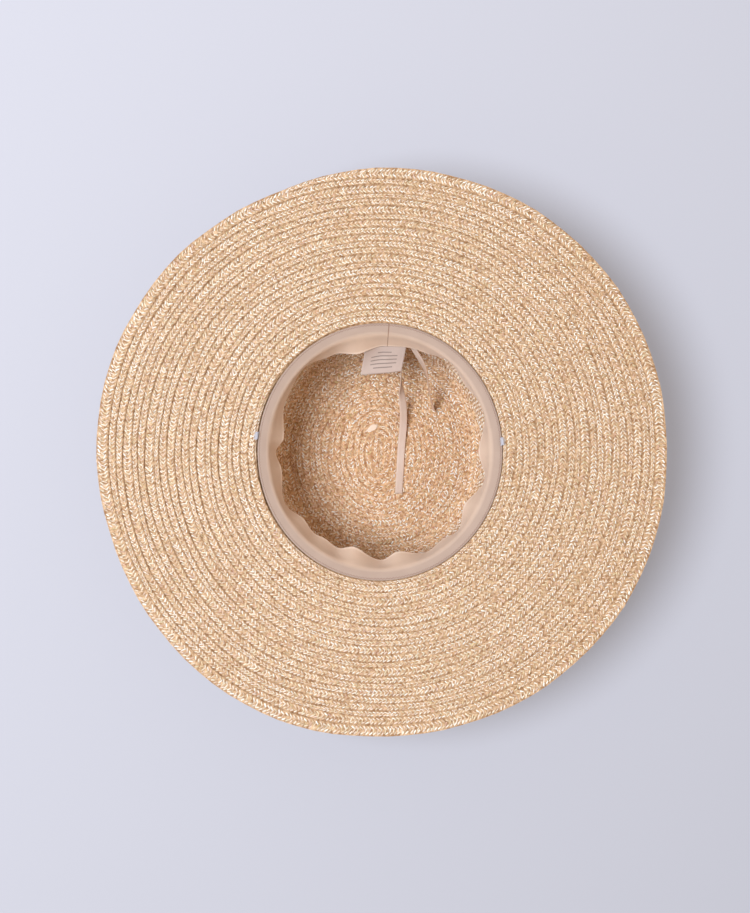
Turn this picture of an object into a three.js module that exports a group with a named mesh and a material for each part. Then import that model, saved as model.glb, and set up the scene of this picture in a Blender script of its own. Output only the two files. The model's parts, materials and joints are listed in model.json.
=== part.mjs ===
// A straw boater hat, lying upside down on its crown: a sewn straw crown and brim, a cloth
// sweatband, a blank size label, the two ends of the size tape and two thread tacks.
// Millimetres, +Z up. Z = 0 is the outer face of the tip, on which the hat lies, and +Y is the
// back of the hat. The origin is at the middle of the bottom of the whole hat.
import * as THREE from "three";

// Straw
const STRAW_THICK = 2.2; // where one row of plait laps the next
const ROW_STEP = 0.9; // how far each row falls to the next one's edge
const ROW_PITCH = 5.1; // from one row of plait to the next
const LAP_GAP = 0.3; // clearance between two sewn pieces

// Crown, measured inside its lip
const OPENING_WIDTH = 178; // head opening, side to side
const OPENING_LENGTH = 187; // head opening, front to back
const CROWN_DEPTH = 84; // tip to the top of the lip
const CROWN_FLARE = 7; // how much narrower the tip is than the opening, on each side
const TIP_CORNER = 14; // radius from the tip to the side
const LIP_FILLET = 3; // radius from the side to the lip
const LIP_WIDTH = 6; // the part of the crown that lies under the brim's first row
const CENTRE_LENGTH = 18; // the straight stretch of plait that the tip's spiral starts from

// Brim
const BRIM_RADIUS = 206;
const BRIM_OFFSET_X = 2.3; // the brim's middle lies this far to the right of the crown's
const BRIM_EDGE = 1.1; // thickness of the single plait at the edge

// Sweatband
const BAND_THICK = 1;
const BAND_WIDTH = 28;
const BAND_SHELF = 7; // the stretch beside the opening that lies nearly level
const BAND_SHELF_DROP = 2.2;
const BAND_EDGE_GAP = 0.5; // clearance between the sewn edge and the brim

// Label and tape
const LABEL_WIDTH = 31;
const LABEL_LENGTH = 22;
const LABEL_THICK = 1;
const LABEL_ANGLE = 87; // where it is sewn to the band, in degrees from +X
const LABEL_HEADING = 259; // the way it hangs, in degrees from +X
const LABEL_SLOPE = 38; // how steeply it hangs, in degrees below level
const LABEL_SAG = 1.2; // how far its middle hangs below a straight line
const TAPE_WIDTH = 5.8;
const TAPE_THICK = 1;

// Thread tacks
const TACK_WIDTH = 3.3;
const TACK_LENGTH = 5.8;
const TACK_THICK = 1;

// Fineness of the faceted solids
const CROWN_SIDES = 32;
const BRIM_SIDES = 48;
const BAND_SIDES = 80;

// The brim's edge: its radius as a share of BRIM_RADIUS. The dip is where the plait ends.
const BRIM_OUTLINE = [
  { angle: 0, share: 1.001 },
  { angle: 30, share: 1.002 },
  { angle: 60, share: 0.998 },
  { angle: 90, share: 0.995 },
  { angle: 100, share: 0.985 },
  { angle: 110, share: 0.979 },
  { angle: 122, share: 0.986 },
  { angle: 140, share: 0.994 },
  { angle: 160, share: 1.001 },
  { angle: 200, share: 1.003 },
  { angle: 240, share: 1.007 },
  { angle: 270, share: 0.996 },
  { angle: 300, share: 0.997 },
  { angle: 330, share: 1.001 },
];

// The sweatband's folds: the free edge's radius as a share of the opening's radius there
const BAND_FOLDS = [
  { angle: 0, share: 0.822 },
  { angle: 22, share: 0.925 },
  { angle: 39, share: 0.887 },
  { angle: 51, share: 0.92 },
  { angle: 68, share: 0.868 },
  { angle: 87, share: 0.838 },
  { angle: 102, share: 0.792 },
  { angle: 116, share: 0.86 },
  { angle: 132, share: 0.914 },
  { angle: 150, share: 0.879 },
  { angle: 172, share: 0.802 },
  { angle: 180, share: 0.863 },
  { angle: 190, share: 0.824 },
  { angle: 209, share: 0.886 },
  { angle: 222, share: 0.822 },
  { angle: 231, share: 0.84 },
  { angle: 238, share: 0.82 },
  { angle: 246, share: 0.832 },
  { angle: 255, share: 0.775 },
  { angle: 271, share: 0.853 },
  { angle: 280, share: 0.799 },
  { angle: 296, share: 0.884 },
  { angle: 305, share: 0.866 },
  { angle: 315, share: 0.9 },
  { angle: 328, share: 0.818 },
  { angle: 345, share: 0.9 },
];

// Routes of the two ends of the size tape, from behind the sweatband's free edge down to the
// inside of the tip. Twist turns the tape's width out of level, in degrees.
const TAPE_LONG_ROUTE = [
  { x: 16.2, y: 82.6, z: 69.0, twist: 0 },
  { x: 16.2, y: 82.5, z: 65.0, twist: 0 },
  { x: 16.3, y: 80.6, z: 60.5, twist: 0 },
  { x: 16.4, y: 76.8, z: 56.0, twist: 0 },
  { x: 16.4, y: 72.0, z: 51.5, twist: 0 },
  { x: 16.4, y: 67.0, z: 46.5, twist: -4 },
  { x: 16.3, y: 62.0, z: 41.0, twist: -10 },
  { x: 16.3, y: 57.0, z: 35.0, twist: -18 },
  { x: 16.5, y: 51.0, z: 28.6, twist: -24 },
  { x: 17.5, y: 45.5, z: 22.5, twist: -24 },
  { x: 18.8, y: 40.0, z: 17.5, twist: -20 },
  { x: 19.6, y: 32.5, z: 12.6, twist: -14 },
  { x: 19.8, y: 24.5, z: 8.8, twist: -8 },
  { x: 19.2, y: 17.0, z: 6.0, twist: -4 },
  { x: 18.4, y: 10.0, z: 4.2, twist: 0 },
  { x: 17.3, y: 0.0, z: 3.3, twist: 0 },
  { x: 16.2, y: -12.5, z: 3.1, twist: 0 },
  { x: 15.5, y: -23.0, z: 3.1, twist: 0 },
  { x: 15.0, y: -32.0, z: 3.1, twist: 0 },
];
const TAPE_SHORT_ROUTE = [
  { x: 22.8, y: 81.6, z: 69.5, twist: 40 },
  { x: 22.9, y: 81.2, z: 65.5, twist: 46 },
  { x: 23.9, y: 78.7, z: 61.0, twist: 52 },
  { x: 26.2, y: 74.8, z: 56.6, twist: 58 },
  { x: 29.5, y: 70.0, z: 52.0, twist: 64 },
  { x: 32.5, y: 65.0, z: 46.6, twist: 68 },
  { x: 34.8, y: 59.5, z: 40.6, twist: 70 },
  { x: 36.3, y: 54.0, z: 34.2, twist: 70 },
  { x: 37.5, y: 48.5, z: 27.4, twist: 68 },
  { x: 38.6, y: 43.5, z: 20.6, twist: 64 },
  { x: 39.9, y: 39.0, z: 14.4, twist: 58 },
  { x: 41.3, y: 35.2, z: 9.4, twist: 48 },
  { x: 42.6, y: 31.8, z: 6.2, twist: 36 },
  { x: 43.6, y: 28.6, z: 4.6, twist: 24 },
  { x: 44.2, y: 25.4, z: 3.9, twist: 12 },
];

// The tacks, each over the seam between the sweatband and the brim
const TACKS = [
  { name: "tack_left", angle: 172 },
  { name: "tack_right", angle: 6 },
];

const straw = (name) =>
  new THREE.MeshStandardMaterial({ name, color: 0xddbd97, roughness: 0.6, metalness: 0 });
const cloth = (name, color, roughness) =>
  new THREE.MeshStandardMaterial({ name, color, roughness, metalness: 0 });

const radians = THREE.MathUtils.degToRad;
const lerp = THREE.MathUtils.lerp;
const OPENING_A = OPENING_WIDTH / 2;
const OPENING_B = OPENING_LENGTH / 2;
const BRIM_BOTTOM = CROWN_DEPTH + LAP_GAP;
const BRIM_TOP = BRIM_BOTTOM + STRAW_THICK;

// The value at an angle in degrees of a table of shares that goes once round, smoothly joined.
function aroundTable(table, angle) {
  const turned = ((angle % 360) + 360) % 360;
  let next = table.findIndex((row) => row.angle > turned);
  if (next < 0) next = table.length;
  const rowAt = (index) => table[(index + table.length) % table.length];
  const angleAt = (index) => rowAt(index).angle + 360 * Math.floor(index / table.length);
  const from = next - 1;
  const span = angleAt(next) - angleAt(from);
  const along = (turned - angleAt(from)) / span;
  const ease = along * along * (3 - 2 * along);
  return lerp(rowAt(from).share, rowAt(next).share, ease);
}

// Radius of the head opening at a polar angle in degrees.
function openingRadius(angle) {
  const c = Math.cos(radians(angle));
  const s = Math.sin(radians(angle));
  return (OPENING_A * OPENING_B) / Math.hypot(OPENING_B * c, OPENING_A * s);
}

// A closed body of revolution about Z whose rings are then placed one by one: place takes the
// index of a point on the profile and the angle in degrees, and gives the point's position.
function ringBody(pointCount, profile, sides, place) {
  const geometry = new THREE.LatheGeometry(profile, sides);
  const position = geometry.getAttribute("position");
  for (let i = 0; i < position.count; i++) {
    const side = Math.floor(i / profile.length) % sides;
    const index = (i % profile.length) % pointCount;
    position.setXYZ(i, ...place(index, (360 * side) / sides).toArray());
  }
  geometry.computeVertexNormals();
  return geometry;
}

// Half the excess of length over width of the crown at a radius: the oval grows rounder outwards.
function ovalExcess(radius) {
  const atOpening = OPENING_B - OPENING_A;
  return lerp(CENTRE_LENGTH / 2, atOpening, Math.min(radius / OPENING_A, 1));
}

// The crown's wall in section, out from the tip's middle to the lip's edge, at a distance
// below or outside its inner face.
function wallPath(depth) {
  const innerCorner = TIP_CORNER - STRAW_THICK;
  const sideTop = OPENING_A - LIP_FILLET;
  const tipSide = sideTop - CROWN_FLARE;
  const height = CROWN_DEPTH - STRAW_THICK - innerCorner - LIP_FILLET;
  const lean = Math.atan2(CROWN_FLARE, height);
  const path = new THREE.Path();
  path.moveTo(0, STRAW_THICK - depth);
  const corner = new THREE.Vector2(tipSide - innerCorner, STRAW_THICK + innerCorner);
  path.absarc(corner.x, corner.y, innerCorner + depth, -Math.PI / 2, -lean, false);
  const fillet = new THREE.Vector2(sideTop + LIP_FILLET, CROWN_DEPTH - LIP_FILLET);
  path.absarc(fillet.x, fillet.y, LIP_FILLET - depth, Math.PI - lean, Math.PI / 2, true);
  path.lineTo(OPENING_A + LIP_WIDTH, CROWN_DEPTH - depth);
  return path;
}

// Points of a face of lapped rows along a path: each row starts on the path and ends sunk below
// it, so that every edge of the plait is a step that faces back along the path.
function lappedRows(path, length, pitch) {
  const rows = Math.round(length / pitch);
  const points = [];
  for (let row = 0; row <= rows; row++) {
    const along = row / rows;
    const point = path.getPoint(along);
    const tangent = path.getTangent(along);
    const outward = new THREE.Vector2(tangent.y, -tangent.x);
    if (row > 0) points.push(point.clone().addScaledVector(outward, ROW_STEP));
    if (row < rows) points.push(point);
  }
  return points;
}

function crown() {
  const inner = wallPath(0);
  const outer = wallPath(STRAW_THICK).getPoints(4);
  const inside = lappedRows(inner, inner.getLength(), ROW_PITCH);
  outer[0].x = 0;
  inside[0].x = 0;
  const profile = [...outer, ...inside.reverse()];
  return ringBody(profile.length, profile, CROWN_SIDES, (index, angle) => {
    const { x: radius, y: height } = profile[index];
    const reach = radius > 0 ? radius + ovalExcess(radius) : 0;
    const across = radius * Math.cos(radians(angle));
    return new THREE.Vector3(across, reach * Math.sin(radians(angle)), height);
  });
}

// A point of the brim's planform: 0 at the head opening and 1 at the edge.
function brimPoint(angle, share, height) {
  const direction = new THREE.Vector3(Math.cos(radians(angle)), Math.sin(radians(angle)), 0);
  const opening = direction.clone().multiplyScalar(openingRadius(angle));
  const edge = direction.multiplyScalar(BRIM_RADIUS * aroundTable(BRIM_OUTLINE, angle));
  edge.x += BRIM_OFFSET_X;
  return opening.lerp(edge, share).setZ(height);
}

function brim() {
  const width = BRIM_RADIUS - OPENING_A;
  const top = new THREE.Path();
  top.moveTo(0, BRIM_TOP);
  top.lineTo(width, BRIM_TOP);
  const upper = lappedRows(top, width, ROW_PITCH);
  const last = upper[upper.length - 1];
  const lower = [
    new THREE.Vector2(0, BRIM_BOTTOM),
    new THREE.Vector2(width - ROW_PITCH, BRIM_BOTTOM),
    new THREE.Vector2(width, last.y - BRIM_EDGE),
  ];
  const profile = [...lower, ...upper.reverse()];
  const count = profile.length;
  return ringBody(count, [...profile, profile[0]], BRIM_SIDES, (index, angle) =>
    brimPoint(angle, profile[index].x / width, profile[index].y),
  );
}

// The middle line of the sweatband in section at an angle: radius and height, from the sewn
// edge over the shelf down to the free edge.
function bandSection(angle) {
  const opening = openingRadius(angle);
  const edge = opening - BAND_EDGE_GAP;
  const height = CROWN_DEPTH + LAP_GAP + BAND_THICK / 2;
  const shelfEnd = opening - BAND_SHELF;
  const free = opening * aroundTable(BAND_FOLDS, angle);
  const fallLength = BAND_WIDTH - BAND_SHELF;
  const fall = Math.sqrt(fallLength ** 2 - (shelfEnd - free) ** 2);
  return [
    new THREE.Vector2(edge, height),
    new THREE.Vector2(lerp(edge, shelfEnd, 0.55), height - 0.25 * BAND_SHELF_DROP),
    new THREE.Vector2(shelfEnd, height - BAND_SHELF_DROP),
    new THREE.Vector2(lerp(shelfEnd, free, 0.45), height - BAND_SHELF_DROP - 0.5 * fall),
    new THREE.Vector2(free, height - BAND_SHELF_DROP - fall),
  ];
}

// The middle line moved to one face of the band: side is 1 for the face towards the head.
function bandFace(angle, side) {
  const middle = bandSection(angle);
  return middle.map((point, index) => {
    const before = middle[Math.max(index - 1, 0)];
    const after = middle[Math.min(index + 1, middle.length - 1)];
    const along = after.clone().sub(before).normalize();
    const towardsHead = new THREE.Vector2(along.y, -along.x);
    return point.clone().addScaledVector(towardsHead, (side * BAND_THICK) / 2);
  });
}

function sweatband() {
  const stations = bandSection(0).length;
  const count = 2 * stations;
  const seed = [...bandFace(0, -1).reverse(), ...bandFace(0, 1)];
  return ringBody(count, [...seed, seed[0]], BAND_SIDES, (index, angle) => {
    const section = [...bandFace(angle, -1).reverse(), ...bandFace(angle, 1)];
    const { x: radius, y: height } = section[index];
    const across = radius * Math.cos(radians(angle));
    return new THREE.Vector3(across, radius * Math.sin(radians(angle)), height);
  });
}

// The label hangs from the band's free edge: its top follows that edge and its foot is straight.
function label() {
  const geometry = new THREE.BoxGeometry(LABEL_WIDTH, LABEL_LENGTH, LABEL_THICK, 8, 4, 1);
  const position = geometry.getAttribute("position");
  const freeRadius = bandSection(LABEL_ANGLE).at(-1).x;
  const heading = radians(LABEL_HEADING);
  const slope = radians(LABEL_SLOPE);
  const plan = new THREE.Vector3(Math.cos(heading), Math.sin(heading), 0);
  const down = plan.clone().multiplyScalar(Math.cos(slope)).setZ(-Math.sin(slope));
  const face = plan.clone().multiplyScalar(Math.sin(slope)).setZ(Math.cos(slope));
  const clear = BAND_THICK / 2 + LAP_GAP + LABEL_THICK / 2;
  for (let i = 0; i < position.count; i++) {
    const across = position.getX(i);
    const length = LABEL_LENGTH / 2 - position.getY(i);
    const angle = LABEL_ANGLE - THREE.MathUtils.radToDeg(across / freeRadius);
    const edge = bandSection(angle).at(-1);
    const around = radians(angle);
    const top = new THREE.Vector3(edge.x * Math.cos(around), edge.x * Math.sin(around), edge.y - clear);
    const sag = LABEL_SAG * Math.sin((Math.PI * length) / LABEL_LENGTH);
    top.addScaledVector(down, length);
    top.addScaledVector(face, position.getZ(i) - sag);
    position.setXYZ(i, ...top.toArray());
  }
  geometry.computeVertexNormals();
  return geometry;
}

// The eight-sided section of the tape: flat, with its edges bevelled.
function tapeSection() {
  const half = TAPE_WIDTH / 2;
  const thick = TAPE_THICK / 2;
  const bevel = TAPE_THICK / 4;
  const shape = new THREE.Shape();
  shape.moveTo(half, -thick + bevel);
  shape.lineTo(half, thick - bevel);
  shape.lineTo(half - bevel, thick);
  shape.lineTo(-half + bevel, thick);
  shape.lineTo(-half, thick - bevel);
  shape.lineTo(-half, -thick + bevel);
  shape.lineTo(-half + bevel, -thick);
  shape.lineTo(half - bevel, -thick);
  shape.closePath();
  return shape;
}

// A flat tape along a route: straight tape of that section, bent and twisted along the curve.
function tape(route) {
  const curve = new THREE.CatmullRomCurve3(
    route.map(({ x, y, z }) => new THREE.Vector3(x, y, z)),
    false,
    "centripetal",
  );
  const length = curve.getLength();
  const steps = Math.round(length / TAPE_WIDTH) + 4;
  const geometry = new THREE.ExtrudeGeometry(tapeSection(), {
    depth: length,
    steps,
    bevelEnabled: false,
  });
  const position = geometry.getAttribute("position");
  const up = new THREE.Vector3(0, 0, 1);
  for (let i = 0; i < position.count; i++) {
    const share = Math.min(position.getZ(i) / length, 1);
    const centre = curve.getPointAt(share);
    const tangent = curve.getTangentAt(share);
    const along = curve.getUtoTmapping(share) * (route.length - 1);
    const from = Math.min(Math.floor(along), route.length - 2);
    const twist = lerp(route[from].twist, route[from + 1].twist, along - from);
    const across = new THREE.Vector3().crossVectors(up, tangent).normalize();
    across.applyAxisAngle(tangent, radians(twist));
    const face = new THREE.Vector3().crossVectors(tangent, across);
    centre.addScaledVector(across, position.getX(i));
    centre.addScaledVector(face, position.getY(i));
    position.setXYZ(i, ...centre.toArray());
  }
  geometry.computeVertexNormals();
  return geometry;
}

// A flat oval pad of thread, standing on the brim's first row across its inner edge.
function tack(angle) {
  const half = TACK_WIDTH / 2;
  const straight = TACK_LENGTH / 2 - half;
  const shape = new THREE.Shape();
  shape.absarc(0, straight, half, 0, Math.PI, false);
  shape.absarc(0, -straight, half, Math.PI, 2 * Math.PI, false);
  const geometry = new THREE.ExtrudeGeometry(shape, {
    depth: TACK_THICK,
    curveSegments: 5,
    bevelEnabled: false,
  });
  const seat = BRIM_TOP + LAP_GAP;
  const radius = openingRadius(angle) + TACK_WIDTH / 4;
  const place = new THREE.Matrix4().makeRotationZ(radians(angle));
  place.setPosition(radius * Math.cos(radians(angle)), radius * Math.sin(radians(angle)), seat);
  return geometry.applyMatrix4(place);
}

function named(name, geometry, material) {
  const mesh = new THREE.Mesh(geometry, material);
  mesh.name = name;
  return mesh;
}

const hat = new THREE.Group();
hat.name = "straw_boater";
hat.add(named("crown", crown(), straw("crown straw")));
hat.add(named("brim", brim(), straw("brim straw")));
hat.add(named("sweatband", sweatband(), cloth("band cloth", 0xd3b8a6, 0.9)));
hat.add(named("label", label(), cloth("label satin", 0xe6dedb, 0.5)));
const tapeCloth = cloth("tape", 0xe3cdbd, 0.7);
hat.add(named("tape_long", tape(TAPE_LONG_ROUTE), tapeCloth));
hat.add(named("tape_short", tape(TAPE_SHORT_ROUTE), tapeCloth.clone()));
for (const { name, angle } of TACKS) {
  hat.add(named(name, tack(angle), cloth("tack thread", 0xdce0e8, 0.6)));
}

// The origin goes to the middle of the bottom.
const box = new THREE.Box3();
for (const mesh of hat.children) {
  mesh.geometry.computeBoundingBox();
  box.union(mesh.geometry.boundingBox);
}
hat.position.set(-(box.min.x + box.max.x) / 2, -(box.min.y + box.max.y) / 2, 0);

export default hat;
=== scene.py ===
"""Looks of a straw boater hat that lies upside down on its crown.

The hat is one long straw plait sewn in a spiral: from the middle of the tip out over the side of
the crown, and on over the brim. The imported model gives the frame. Lengths are metres, +Z is up,
+Y is the back of the hat, and the camera looks straight down into the crown.
"""

import json
import logging
import math
from collections.abc import Callable
from dataclasses import dataclass, field, fields
from enum import Enum

import bpy
import numpy as np
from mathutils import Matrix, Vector

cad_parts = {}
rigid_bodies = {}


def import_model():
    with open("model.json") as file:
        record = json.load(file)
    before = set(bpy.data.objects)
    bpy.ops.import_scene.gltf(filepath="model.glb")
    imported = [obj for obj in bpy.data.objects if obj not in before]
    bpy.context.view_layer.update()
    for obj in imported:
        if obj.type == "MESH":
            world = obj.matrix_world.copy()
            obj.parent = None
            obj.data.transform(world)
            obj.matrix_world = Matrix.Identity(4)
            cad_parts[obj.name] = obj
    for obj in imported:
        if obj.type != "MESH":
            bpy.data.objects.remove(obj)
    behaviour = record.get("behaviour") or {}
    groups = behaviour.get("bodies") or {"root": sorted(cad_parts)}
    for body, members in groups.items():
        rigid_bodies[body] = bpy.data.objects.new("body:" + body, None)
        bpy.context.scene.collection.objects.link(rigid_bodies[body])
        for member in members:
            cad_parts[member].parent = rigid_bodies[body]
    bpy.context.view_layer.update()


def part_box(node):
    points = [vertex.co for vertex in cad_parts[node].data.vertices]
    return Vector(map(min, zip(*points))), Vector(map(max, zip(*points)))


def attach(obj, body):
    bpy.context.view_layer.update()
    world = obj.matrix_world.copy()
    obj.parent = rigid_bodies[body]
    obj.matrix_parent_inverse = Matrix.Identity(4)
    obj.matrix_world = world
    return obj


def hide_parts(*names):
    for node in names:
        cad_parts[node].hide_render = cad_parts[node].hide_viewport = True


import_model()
LOG = logging.getLogger("boater")

Array = np.ndarray
Body = bpy.types.Object
Paint = bpy.types.Material
Socket = bpy.types.NodeSocket

MM = 0.001
TURN = 2 * math.pi
UP = np.array([0, 0, 1])
WHITE = (1.0, 1.0, 1.0)
# Radians that a wave texture of scale one turns in a metre.
WAVE_RATE = 20
PLAIT_ROW = 5.1 * MM


class Face(Enum):
    """The two faces of the straw."""

    HEAD = 1
    OUTER = -1


@dataclass(frozen=True)
class Lay:
    """How one set of strands lies in a row of plait."""

    number: int
    place: float
    offset: float
    reach: float
    swing: float
    width: float
    lift: float
    blunt: float
    paler: float


class Arm(Enum):
    """The sets of strands: at the row's free edge, in its middle, and those that pass under."""

    EDGE = Lay(0, 0.24, 0.0, 1.08 * MM, 0.68 * MM, 0.98 * MM, 0.38 * MM, 0.12, 0.08)
    MIDDLE = Lay(1, 0.74, 0.5, 1.08 * MM, -0.64 * MM, 0.98 * MM, 0.38 * MM, 0.35, 0.08)
    # The strands that pass under are toned darker: painted shade between the upper strands.
    UNDER = Lay(2, 0.49, 0.25, 0.8 * MM, -1.3 * MM, 1.0 * MM, 0.1 * MM, 0.4, -0.22)


@dataclass(frozen=True)
class Straw:
    """Sizes of the plait."""

    core: float = 0.55 * MM
    lift: float = 0.34 * MM
    strand_step: float = 2.9 * MM
    strand_root: float = 0.1 * MM
    strand_tip: float = 0.4


@dataclass(frozen=True)
class HatForm:
    """Sizes that several pieces share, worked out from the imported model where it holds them."""

    centre: tuple[float, float]
    opening_a: float
    opening_b: float
    depth: float
    brim_top: float
    wall: float = 2.2 * MM
    lip_width: float = 6 * MM
    brim_radius: float = 206 * MM
    brim_shift: float = 2.3 * MM

    @classmethod
    def from_frame(cls) -> "HatForm":
        """Reads the crown's and the brim's boxes.

        Returns:
            The form, with the crown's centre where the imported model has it.
        """
        low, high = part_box("crown")
        return cls(
            centre=((low.x + high.x) / 2, (low.y + high.y) / 2),
            opening_a=(high.x - low.x) / 2 - cls.lip_width,
            opening_b=(high.y - low.y) / 2 - cls.lip_width,
            depth=high.z,
            brim_top=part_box("brim")[1].z,
        )

    def opening(self, angle: Array) -> Array:
        """Radius of the head opening at polar angles about the crown's centre, in radians."""
        a, b = self.opening_a, self.opening_b
        return a * b / np.hypot(b * np.cos(angle), a * np.sin(angle))

    def spots(self, angle: Array, radius: Array, height: Array, stretch: Array | float = 0) -> Array:
        """Positions about the crown's centre, each moved along y by the stretch."""
        x, y = self.centre
        return np.stack([x + radius * np.cos(angle), y + radius * np.sin(angle) + stretch, height], axis=-1)


def eased(share: Array) -> Array:
    """A share from 0 to 1 that starts and ends gently."""
    return share * share * (3 - 2 * share)


def unit(vectors: Array) -> Array:
    """Each row at length one."""
    return vectors / np.maximum(np.linalg.norm(vectors, axis=-1, keepdims=True), 1e-12)


def heading(degrees: float) -> Array:
    """The level direction at an angle."""
    return np.array([math.cos(math.radians(degrees)), math.sin(math.radians(degrees)), 0])


def smooth_table(rows: list[tuple[float, float]], degrees: Array) -> Array:
    """Reads a table of angle and value, smoothly joined.

    Args:
        rows: Angle in degrees and value, in rising order of angle.
        degrees: The angles wanted, inside the table.

    Returns:
        The value at each angle.
    """
    angles, values = np.array(rows).T
    index = np.clip(np.searchsorted(angles, degrees, side="right") - 1, 0, len(rows) - 2)
    share = np.clip((degrees - angles[index]) / (angles[index + 1] - angles[index]), 0, 1)
    return values[index] + (values[index + 1] - values[index]) * eased(share)


def spline(knots: Array, shares: Array) -> Array:
    """A smooth curve through knots.

    Args:
        knots: The knots along the first axis.
        shares: Places from 0, the first knot, to 1, the last.

    Returns:
        The curve's points along the first axis.
    """
    last = len(knots) - 1
    padded = np.concatenate([2 * knots[:1] - knots[1:2], knots, 2 * knots[-1:] - knots[-2:-1]])
    spot = np.clip(shares * last, 0, last - 1e-9)
    index = np.floor(spot).astype(int)
    share = (spot - index).reshape((-1,) + (1,) * (knots.ndim - 1))
    p0, p1, p2, p3 = (padded[index + i] for i in range(4))
    return 0.5 * (
        2 * p1 + (p2 - p0) * share + (2 * p0 - 5 * p1 + 4 * p2 - p3) * share**2
        + (3 * p1 - p0 - 3 * p2 + p3) * share**3
    )


def linear(red: float, green: float, blue: float) -> tuple[float, float, float]:
    """A colour of 0 to 255 as the eye sees it, in linear shares."""
    shares = (red / 255, green / 255, blue / 255)
    return tuple(s / 12.92 if s <= 0.04045 else ((s + 0.055) / 1.055) ** 2.4 for s in shares)


def linked(name: str, data: bpy.types.ID) -> Body:
    """Makes an object at the origin.

    Args:
        name: Its name.
        data: Its mesh, light or camera.

    Returns:
        The object, linked to the scene.
    """
    made = bpy.data.objects.new(name, data)
    bpy.context.scene.collection.objects.link(made)
    return made


def mesh_object(name: str, points: Array, faces: list, edges: list | None = None,
                smooth: bool = True) -> Body:
    """Makes a mesh object.

    Args:
        name: The piece's name.
        points: One row of x, y, z for each vertex.
        faces: The vertex indices of each face.
        edges: The vertex indices of each loose edge.
        smooth: Whether its faces are shaded smooth.

    Returns:
        The object, linked to the scene.
    """
    mesh = bpy.data.meshes.new(name)
    mesh.from_pydata([tuple(p) for p in points], edges or [], faces)
    mesh.update()
    if smooth:
        mesh.shade_smooth()
    else:
        mesh.shade_flat()
    return linked(name, mesh)


def face_out(mesh: bpy.types.Mesh) -> None:
    """Turns a closed mesh's faces outwards, where its volume comes out below zero.

    Args:
        mesh: The mesh.
    """
    mesh.calc_loop_triangles()
    points = np.array([v.co for v in mesh.vertices])
    corners = points[np.array([t.vertices for t in mesh.loop_triangles])]
    if np.einsum("ij,ij->", corners[:, 0], np.cross(corners[:, 1], corners[:, 2])) < 0:
        mesh.flip_normals()


def wound(name: str, rings: Array, material: Paint, hoop: bool = False, smooth: bool = True) -> Body:
    """Makes a closed body from rings of vertices, one after another.

    Args:
        name: The piece's name.
        rings: Positions by ring and by vertex round it.
        material: Its finish.
        hoop: Whether the last ring joins the first; otherwise both get a face.
        smooth: Whether its faces are shaded smooth.

    Returns:
        The body, with its faces outwards.
    """
    count, around = rings.shape[:2]
    faces = []
    for ring in range(count if hoop else count - 1):
        below, above = ring * around, (ring + 1) % count * around
        for corner in range(around):
            after = (corner + 1) % around
            faces.append((below + corner, below + after, above + after, above + corner))
    if not hoop:
        faces.append(tuple(range(around))[::-1])
        faces.append(tuple(range((count - 1) * around, count * around)))
    made = mesh_object(name, rings.reshape(-1, 3), faces, smooth=smooth)
    face_out(made.data)
    made.data.materials.append(material)
    return made


def weave_map(made: Body, rings: int, length: float, down: Array) -> None:
    """Gives a wound body a map in metres, for its weave.

    Args:
        made: The body.
        rings: How many rings it has.
        length: The cloth's length along the rings.
        down: Where each vertex of a ring lies across the cloth.
    """
    layer = made.data.uv_layers.new(name="Weave")
    for face in made.data.polygons:
        spots = [divmod(v, len(down)) for v in face.vertices]
        closing = max(spots)[0] - min(spots)[0] > 1
        for loop, (ring, place) in zip(face.loop_indices, spots):
            side = rings if closing and ring == 0 else ring
            layer.data[loop].uv = (side * length / rings, down[place])


def store(mesh: bpy.types.Mesh, key: str, rows: Array) -> None:
    """Keeps a number or a vector for each vertex as an attribute."""
    kind, slot = ("FLOAT_VECTOR", "vector") if rows.ndim == 2 else ("FLOAT", "value")
    mesh.attributes.new(key, kind, "POINT").data.foreach_set(slot, rows.astype(np.float32).ravel())


def seat(piece: Body, replaces: str = "") -> None:
    """Puts a finished piece on the hat and logs its triangles.

    Args:
        piece: The piece.
        replaces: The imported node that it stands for, if any.
    """
    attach(piece, "root")
    if replaces:
        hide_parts(replaces)
    piece.data.calc_loop_triangles()
    LOG.info("%s: %d triangles", piece.name, len(piece.data.loop_triangles))


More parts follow.
